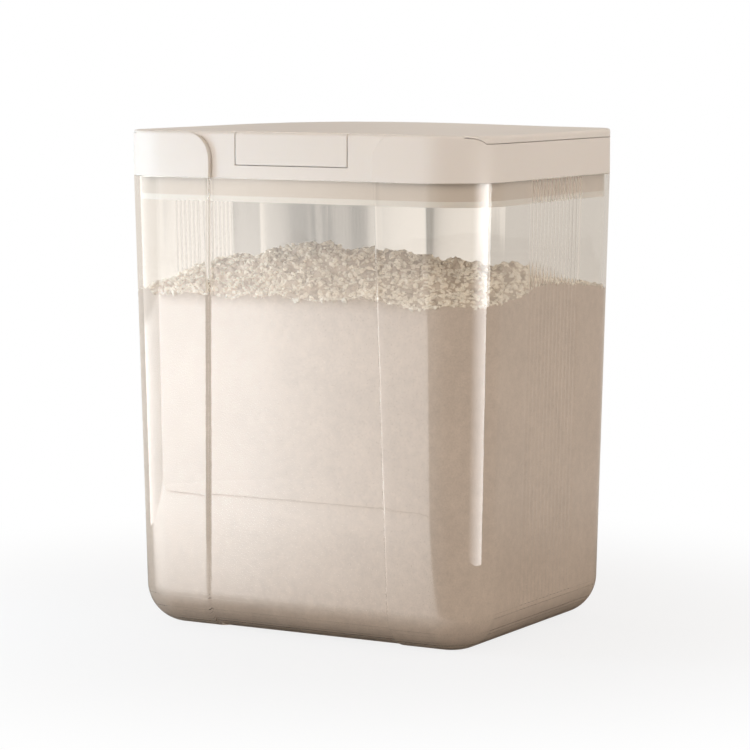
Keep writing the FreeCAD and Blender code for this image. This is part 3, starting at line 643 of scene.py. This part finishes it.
def blend_step(t):
    """Smooth rise from 0 to 1."""
    t = min(1.0, max(0.0, t))
    return t * t * (3 - 2 * t)


def heap(x, y, middle, reach):
    """Rounded rise round a middle point, 1 at its top."""
    return math.exp(-((x - middle[0]) / reach[0]) ** 2 - ((y - middle[1]) / reach[1]) ** 2)


def lumps_at(x, y, width, seed):
    """Domes of broken lumps about a width across, 1 at their tops."""
    near = noise.voronoi(Vector((x / width + seed, y / width, seed)), distance_metric="DISTANCE")[0][0]
    return max(0.0, 1.0 - (near / 0.75) ** 2)


def food_height(food, x, y):
    """Height of the food's surface: a wide mound with a lower one at the right, and lumps on them."""
    mound = food.mound * heap(x, y, HEAP_MIDDLE, HEAP_REACH)
    shoulder = food.shoulder * heap(x, y, SHOULDER_MIDDLE, SHOULDER_REACH)
    at = Vector((x, y, 0.0))
    swell = noise.noise(at / (SWELL[0] * food.lump)) * SWELL[1] * food.lump
    scoop = noise.noise(at / (SCOOP[0] * food.lump) + Vector((3.1, 7.7, 0))) * SCOOP[1] * food.lump
    rough = 0.0
    for share, tall_share, seed in LUMP_SHARES:
        rough += lumps_at(x, y, share * food.lump, seed) * tall_share * food.lump
    grain = noise.fractal(at / (GRAIN[0] * food.lump), 1.0, 2.0, 3) * GRAIN[1] * food.lump
    # smoother where it lies flat at the walls and at the right
    uneven = noise.noise(at / (BROKEN_WIDTH * food.lump) + Vector((9.0, 2.0, 0)))
    broken = blend_step(BROKEN_MIDDLE + BROKEN_NOISE * uneven - x / (BROKEN_FADE * HALF_X))
    edge = min(HALF_X - abs(x), y - FRONT, BACK - y)
    calm = blend_step(edge / (CALM_WIDTH * food.lump))
    kept = CALM_SHARE + (1 - CALM_SHARE) * calm * broken
    return food.level + mound + shoulder + swell + scoop + (rough + grain) * kept


def food_mesh(sizes, food):
    """The food as one closed mesh: the heaped top, in the second material, sides that follow the bin's
    inside, and a flat foot."""
    bm = bmesh.new()
    reach = sizes.corner_radius - sizes.wall + food.press
    rings = profile(reach, sizes.base_wall - food.press, sizes.bottom_fillet - sizes.wall + food.press,
                    sizes.draft, 10, 2)
    slope = math.tan(sizes.draft)
    bend_x = HALF_X - sizes.corner_radius
    low_y = FRONT + sizes.recess + sizes.corner_radius
    high_y = BACK - sizes.corner_radius
    radius = reach - (RIM - food.level) * slope
    count_x = int(2 * (bend_x + radius) / food.cell)
    corner = int(radius / food.cell) + 3
    ys = []
    for i in range(corner):
        ys.append(low_y - radius * math.cos(math.pi / 2 * i / corner))
    straight = int((high_y - low_y) / food.cell)
    for i in range(straight):
        ys.append(low_y + (high_y - low_y) * i / straight)
    for i in range(corner + 1):
        ys.append(high_y + radius * math.sin(math.pi / 2 * i / corner))
    grid = []
    for y in ys:
        past = max(low_y - y, y - high_y, 0.0)
        half = bend_x + math.sqrt(max(radius * radius - past * past, 0.0))
        row = []
        for i in range(count_x + 1):
            x = half * (2 * i / count_x - 1)
            row.append(bm.verts.new((x, y, food_height(food, x, y))))
        grid.append(row)
    for a, b in zip(grid, grid[1:]):
        for i in range(count_x):
            bm.faces.new((a[i], a[i + 1], b[i + 1], b[i])).material_index = 1
    loop = list(grid[0]) + [row[-1] for row in grid[1:]] + list(reversed(grid[-1][:-1]))
    loop += [row[0] for row in reversed(grid[1:-1])]
    centres = []
    for v in loop:
        c = Vector((max(-bend_x, min(bend_x, v.co.x)), max(low_y, min(high_y, v.co.y))))
        n = Vector((v.co.x, v.co.y)) - c
        centres.append((c, n.normalized()))
    for a, b in zip(loop, loop[1:] + loop[:1]):
        bm.edges.get((a, b)).smooth = False
    # the surface's own edge leans with the wall
    for v, (c, n) in zip(loop, centres):
        r = reach - (RIM - v.co.z) * slope
        v.co.x, v.co.y = c.x + n.x * r, c.y + n.y * r
    above = loop
    levels = [(r, z) for r, z in reversed(rings) if z < food.level - SIDE_START]
    for r, z in levels:
        below = [bm.verts.new((c.x + n.x * r, c.y + n.y * r, z)) for c, n in centres]
        for i in range(len(loop)):
            j = (i + 1) % len(loop)
            bm.faces.new((above[i], below[i], below[j], above[j]))
        above = below
    bm.faces.new(above)
    return bm


def crumb_tree(material):
    """Geometry nodes that scatter small crumbs over the food's top."""
    tree = bpy.data.node_groups.new("Crumbs", "GeometryNodeTree")
    face = tree.interface
    face.new_socket(name="Geometry", in_out="INPUT", socket_type="NodeSocketGeometry")
    for name, kind in (("Density", "Float"), ("Size", "Float"), ("Seed", "Int")):
        face.new_socket(name=name, in_out="INPUT", socket_type="NodeSocket" + kind)
    face.new_socket(name="Geometry", in_out="OUTPUT", socket_type="NodeSocketGeometry")
    start = add(tree, "NodeGroupInput")
    up = add(tree, "GeometryNodeInputNormal")
    parts = add(tree, "ShaderNodeSeparateXYZ", {0: up.outputs[0]})
    faces_up = add(tree, "FunctionNodeCompare", {0: parts.outputs["Z"], 1: 0.4}, operation="GREATER_THAN")
    points = add(tree, "GeometryNodeDistributePointsOnFaces", {
        "Mesh": start.outputs["Geometry"], "Selection": faces_up.outputs[0],
        "Density": start.outputs["Density"], "Seed": start.outputs["Seed"]})
    crumb = add(tree, "GeometryNodeMeshIcoSphere", {"Radius": 0.5, "Subdivisions": 1})
    where = add(tree, "GeometryNodeInputPosition")
    rough = add(tree, "ShaderNodeTexNoise", {"Vector": where.outputs[0], "Scale": 2.2, "Detail": 1.0})
    shift = add(tree, "ShaderNodeVectorMath", {0: rough.outputs["Color"], 1: (0.5, 0.5, 0.5)},
                operation="SUBTRACT")
    uneven = add(tree, "GeometryNodeSetPosition", {"Geometry": crumb.outputs["Mesh"],
                                                   "Offset": shift.outputs[0]})
    spin = add(tree, "FunctionNodeRandomValue", {"Min": (0, 0, 0), "Max": (FULL_TURN,) * 3},
               data_type="FLOAT_VECTOR")
    small = reckon(tree, "MULTIPLY", start.outputs["Size"], CRUMB_RANGE[0])
    large = reckon(tree, "MULTIPLY", start.outputs["Size"], CRUMB_RANGE[1])
    size = add(tree, "FunctionNodeRandomValue", {2: small, 3: large, "Seed": 4}, data_type="FLOAT")
    placed = add(tree, "GeometryNodeInstanceOnPoints", {
        "Points": points.outputs["Points"], "Instance": uneven.outputs["Geometry"],
        "Rotation": spin.outputs[0], "Scale": size.outputs[1]})
    real = add(tree, "GeometryNodeRealizeInstances", {"Geometry": placed.outputs["Instances"]}).outputs[0]
    painted = add(tree, "GeometryNodeSetMaterial", {"Geometry": real, "Material": material})
    add(tree, "NodeGroupOutput", {0: painted.outputs["Geometry"]})
    return tree


def grow(name, tree, values, base):
    """Runs a geometry tree on a mesh, and returns its result as a plain mesh object."""
    piece = bpy.data.objects.new(name, base)
    bpy.context.scene.collection.objects.link(piece)
    mod = piece.modifiers.new(name, "NODES")
    mod.node_group = tree
    for item in tree.interface.items_tree:
        if item.in_out == "INPUT" and item.name in values:
            mod[item.identifier] = values[item.name]
    return settle(piece)


def dress(material, *names):
    """Gives the frame's own pieces a material."""
    for name in names:
        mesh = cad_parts[name].data
        mesh.materials.clear()
        mesh.materials.append(material)


class OBJECT_OT_clear_bin(bpy.types.Operator):
    """Makes the clear bin"""

    bl_idname = "storage_bin.clear_bin"
    bl_label = "Clear bin"

    def execute(self, context):
        sizes = context.scene.bin_sizes
        piece = new_piece("clear_bin", clear_bin_mesh(sizes), clear_plastic(context.scene.finishes),
                          SHARP_ANGLE)
        weight_normals(piece)
        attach(piece, "container")
        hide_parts("clear_body")
        return {"FINISHED"}


class OBJECT_OT_food(bpy.types.Operator):
    """Fills the bin with food"""

    bl_idname = "storage_bin.food"
    bl_label = "Food"

    def execute(self, context):
        food = context.scene.food_sizes
        finishes = context.scene.finishes
        # the heap's flour is painted lighter than the pressed flour, painted light in place of the light the
        # lid keeps off
        loose = milled_flour("loose_wheat_flour", finishes.loose, 0.05)
        # the crumbs' flour is painted lighter than the heap's, painted light that stands for lit crumbs on a
        # shaded heap
        painted_lit_crumbs = milled_flour("painted_lit_crumb_flour", finishes.crumb, 0.05)
        fill = new_piece("food", food_mesh(context.scene.bin_sizes, food),
                         milled_flour("pressed_wheat_flour", finishes.pressed, 0.09))
        fill.data.materials.append(loose)
        area = 4 * HALF_X * BACK
        crumbs = grow("food_crumbs", crumb_tree(painted_lit_crumbs),
                      {"Density": food.crumb_count / area, "Size": food.crumb_size, "Seed": CRUMB_SEED},
                      fill.data.copy())
        for piece in (fill, crumbs):
            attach(piece, "container")
        return {"FINISHED"}


class OBJECT_OT_lid_finish(bpy.types.Operator):
    """Gives the lid, the cover and the button their satin plastic"""

    bl_idname = "storage_bin.lid_finish"
    bl_label = "Lid finish"

    def execute(self, context):
        dress(satin_lid_plastic(context.scene.finishes), "lid_frame", "flip_cover", "push_button")
        dress(smooth_inner_plastic(context.scene.finishes), "plug_ring", "cover_liner", "latch_retainer",
              "latch_slide")
        dress(silicone_rubber(context.scene.finishes), "body_seal", "cover_seal")
        return {"FINISHED"}


class OBJECT_OT_hardware(bpy.types.Operator):
    """Finishes the pins, the screws and the springs"""

    bl_idname = "storage_bin.hardware"
    bl_label = "Hardware"

    def execute(self, context):
        dress(drawn_steel("drawn_stainless", 0.3), "ring_screws", "retainer_screws", "hinge_pin_left",
              "hinge_pin_right")
        dress(drawn_steel("spring_wire", 0.18), "hinge_spring_left", "hinge_spring_right",
              "button_spring_left", "button_spring_right")
        # the button squeezes its springs against the lid as it goes in
        for name in ("button_spring_left", "button_spring_right"):
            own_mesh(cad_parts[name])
        return {"FINISHED"}


def tones_of_the_room(tree, studio, at):
    """What clear walls and gloss show of the room: an even tone, with softly brighter and dimmer columns
    behind the object."""
    parts = add(tree, "ShaderNodeSeparateXYZ", {0: at})
    turn = reckon(tree, "ARCTAN2", parts.outputs["X"], parts.outputs["Y"])
    share = add(tree, "ShaderNodeMapRange", {"Value": turn, "From Min": ROOM_START, "From Max": ROOM_END})
    strength = strengths(tree, share.outputs["Result"], ROOM_TONES)
    return blend(tree, 1.0, opaque(studio.room), strength, blend_type="MULTIPLY")


def studio_floor(studio):
    """White floor that keeps the object's soft shadow, and fades to plain white away from it. Dim to the
    light that leaves the object, as painted shade on the object's foot, it glows in gloss with a painted pool
    of light.
    """
    material, tree = blank_material("white_floor")
    at = place(tree)
    away = add(tree, "ShaderNodeVectorMath", {0: at}, operation="LENGTH").outputs["Value"]
    fade = add(tree, "ShaderNodeMapRange", {"Value": away, "From Min": SHADOW_NEAR, "From Max": SHADOW_FAR,
                                            "To Min": 0.8, "To Max": 1.0}, interpolation_type="SMOOTHSTEP")
    clear = add(tree, "ShaderNodeMapRange", {"Value": away, "From Min": TONE_NEAR, "From Max": TONE_FAR},
                interpolation_type="SMOOTHSTEP")
    path = add(tree, "ShaderNodeLightPath").outputs
    seen = reckon(tree, "MULTIPLY", fade.outputs["Result"], path["Is Camera Ray"])
    through = reckon(tree, "MULTIPLY", mirrored(tree), clear.outputs["Result"])
    colour = blend(tree, mirrored(tree), opaque(WHITE), tones_of_the_room(tree, studio, at))
    # painted pool of light: the floor glows, seen only in gloss, where the card at the front left would light
    # it
    parts = add(tree, "ShaderNodeSeparateXYZ", {0: at}).outputs
    slant = reckon(tree, "MULTIPLY_ADD", parts["Y"], -POOL_SLANT, parts["X"])
    side = add(tree, "ShaderNodeMapRange", {"Value": slant, "From Min": VEIL_LEFT - POOL_SLANT * VEIL_Y,
                                            "From Max": VEIL_RIGHT - POOL_SLANT * VEIL_Y})
    near = add(tree, "ShaderNodeMapRange", {"Value": parts["Y"], "From Min": FRONT, "From Max": VEIL_Y})
    painted_pool = reckon(tree, "MULTIPLY", strengths(tree, side.outputs["Result"], VEIL_ACROSS),
                  strengths(tree, near.outputs["Result"], VEIL_ALONG))
    for factor in (reckon(tree, "GREATER_THAN", parts["X"], VEIL_LEFT), studio.veil, path["Is Glossy Ray"],
                   first_wall(tree)):
        painted_pool = reckon(tree, "MULTIPLY", painted_pool, factor)
    glow = add(tree, "ShaderNodeEmission", {"Color": opaque(WHITE), "Strength": painted_pool})
    # painted shade: the floor is dim to the light that leaves the object, which darkens the object's foot,
    # and pale to the camera
    foot = blend(tree, path["Is Camera Ray"], opaque(FOOT_SHADE_FLOOR), opaque(PALE_FLOOR))
    paint = add(tree, "ShaderNodeBsdfDiffuse", {"Color": foot})
    white = add(tree, "ShaderNodeEmission", {"Color": colour, "Strength": 1.0})
    plain = reckon(tree, "MAXIMUM", seen, through)
    mix = add(tree, "ShaderNodeMixShader", {0: plain, 1: paint.outputs["BSDF"], 2: white.outputs["Emission"]})
    both = add(tree, "ShaderNodeAddShader", {0: mix.outputs["Shader"], 1: glow.outputs["Emission"]})
    link_surface(tree, both.outputs["Shader"])
    return material


def studio_world(studio):
    """White to the camera, a dim room in reflections, and soft light all round."""
    world = bpy.data.worlds.new("Studio")
    world.use_nodes = True
    tree = world.node_tree
    tree.nodes.clear()
    camera = add(tree, "ShaderNodeLightPath").outputs["Is Camera Ray"]
    way = add(tree, "ShaderNodeTexCoord").outputs["Generated"]
    height = add(tree, "ShaderNodeSeparateXYZ", {0: way}).outputs["Z"]
    sky = blend(tree, 1.0, opaque(studio.ambient), strengths(tree, height, SKY_TONES), blend_type="MULTIPLY")
    soft = blend(tree, mirrored(tree), sky, tones_of_the_room(tree, studio, way))
    seen = blend(tree, camera, soft, opaque(WHITE))
    glow = add(tree, "ShaderNodeBackground", {"Color": seen, "Strength": 1.0})
    add(tree, "ShaderNodeOutputWorld", {"Surface": glow.outputs["Background"]})
    return world


def card(name, middle, facing, width, height, radiance, colour, across=None, up=((0.0, 1.0), (1.0, 1.0))):
    """Flat rectangular lamp. Its brightness across and up it can follow stops of share and strength."""
    lamp = bpy.data.lights.new(name, "AREA")
    lamp.shape = "RECTANGLE"
    lamp.size = width
    lamp.size_y = height
    # a flat lamp of radiance r gives pi times r times its area in watts
    lamp.energy = math.pi * radiance * width * height
    lamp.color = colour
    if across:
        lamp.use_nodes = True
        tree = lamp.node_tree
        tree.nodes.clear()
        spot = add(tree, "ShaderNodeNewGeometry")
        parts = add(tree, "ShaderNodeSeparateXYZ", {0: spot.outputs["Parametric"]}).outputs
        both = reckon(tree, "MULTIPLY", strengths(tree, parts["X"], across), strengths(tree, parts["Y"], up))
        glow = add(tree, "ShaderNodeEmission", {"Color": opaque(colour),
                                                "Strength": reckon(tree, "MULTIPLY", both, first_wall(tree))})
        add(tree, "ShaderNodeOutputLight", {"Surface": glow.outputs["Emission"]})
    piece = bpy.data.objects.new(name, lamp)
    bpy.context.scene.collection.objects.link(piece)
    piece.location = middle
    piece.rotation_euler = (Vector(facing) - Vector(middle)).to_track_quat("-Z", "Y").to_euler()
    piece.visible_camera = False
    return piece


class OBJECT_OT_studio(bpy.types.Operator):
    """Makes the floor, the lights, the world and the camera"""

    bl_idname = "storage_bin.studio"
    bl_label = "Studio"

    def execute(self, context):
        studio = context.scene.studio
        scene = context.scene
        bm = bmesh.new()
        bmesh.ops.create_grid(bm, x_segments=1, y_segments=1, size=FLOOR_REACH)
        floor = new_piece("floor", bm, studio_floor(studio))
        scene.world = studio_world(studio)
        key = card("key", *KEY_PLACE, studio.key, COOL)
        key.visible_glossy = False
        key.visible_transmission = False
        middle, half = (VEIL_LEFT + VEIL_RIGHT) / 2, VEIL_HEIGHT / 2
        veil = card("veil", (middle, VEIL_Y, half), (middle, 0.0, half), VEIL_RIGHT - VEIL_LEFT, VEIL_HEIGHT,
                    studio.veil, WHITE, VEIL_ACROSS, VEIL_UP)
        middle = (WING_Y + VEIL_Y) / 2
        wing = card("wing", (VEIL_LEFT, middle, half), (0.0, middle, half), WING_Y - VEIL_Y, VEIL_HEIGHT,
                    studio.veil, WHITE, WING_ACROSS, VEIL_UP)
        strip = card("strip", *STRIP_PLACE, studio.strip, WHITE, STRIP_ACROSS)
        for lamp in (veil, wing, strip):
            lamp.visible_diffuse = False
        eye = bpy.data.cameras.new("camera")
        eye.sensor_width = 36.0
        eye.lens = studio.lens
        view = bpy.data.objects.new("camera", eye)
        scene.collection.objects.link(view)
        target = Vector(studio.target)
        level = math.cos(studio.elevation) * studio.distance
        view.location = target + Vector((math.sin(studio.azimuth) * level, -math.cos(studio.azimuth) * level,
                                         math.sin(studio.elevation) * studio.distance))
        view.rotation_euler = (target - view.location).to_track_quat("-Z", "Y").to_euler()
        scene.camera = view
        scene.view_settings.view_transform = "Standard"
        return {"FINISHED"}


class VIEW3D_PT_storage_bin(bpy.types.Panel):
    """Lists the pieces that can be made"""

    bl_label = "Storage bin"
    bl_space_type = "VIEW_3D"
    bl_region_type = "UI"
    bl_category = "Storage bin"

    def draw(self, context):
        for operator in OPERATORS:
            self.layout.operator(operator.bl_idname)


OPERATORS = (OBJECT_OT_clear_bin, OBJECT_OT_food, OBJECT_OT_lid_finish, OBJECT_OT_hardware, OBJECT_OT_studio)
GROUPS = {"bin_sizes": BinSizes, "food_sizes": FoodSizes, "finishes": Finishes, "studio": Studio}


def register():
    """Registers the properties, the operators and the panel."""
    for name, group in GROUPS.items():
        bpy.utils.register_class(group)
        setattr(bpy.types.Scene, name, PointerProperty(type=group))
    for operator in OPERATORS:
        bpy.utils.register_class(operator)
    bpy.utils.register_class(VIEW3D_PT_storage_bin)


def unregister():
    """Removes what register added."""
    bpy.utils.unregister_class(VIEW3D_PT_storage_bin)
    for operator in reversed(OPERATORS):
        bpy.utils.unregister_class(operator)
    for name, group in GROUPS.items():
        delattr(bpy.types.Scene, name)
        bpy.utils.unregister_class(group)


def main():
    """Makes every piece in order."""
    register()
    bpy.ops.storage_bin.studio()
    bpy.ops.storage_bin.clear_bin()
    bpy.ops.storage_bin.food()
    bpy.ops.storage_bin.lid_finish()
    bpy.ops.storage_bin.hardware()


if __name__ == "__main__":
    main()
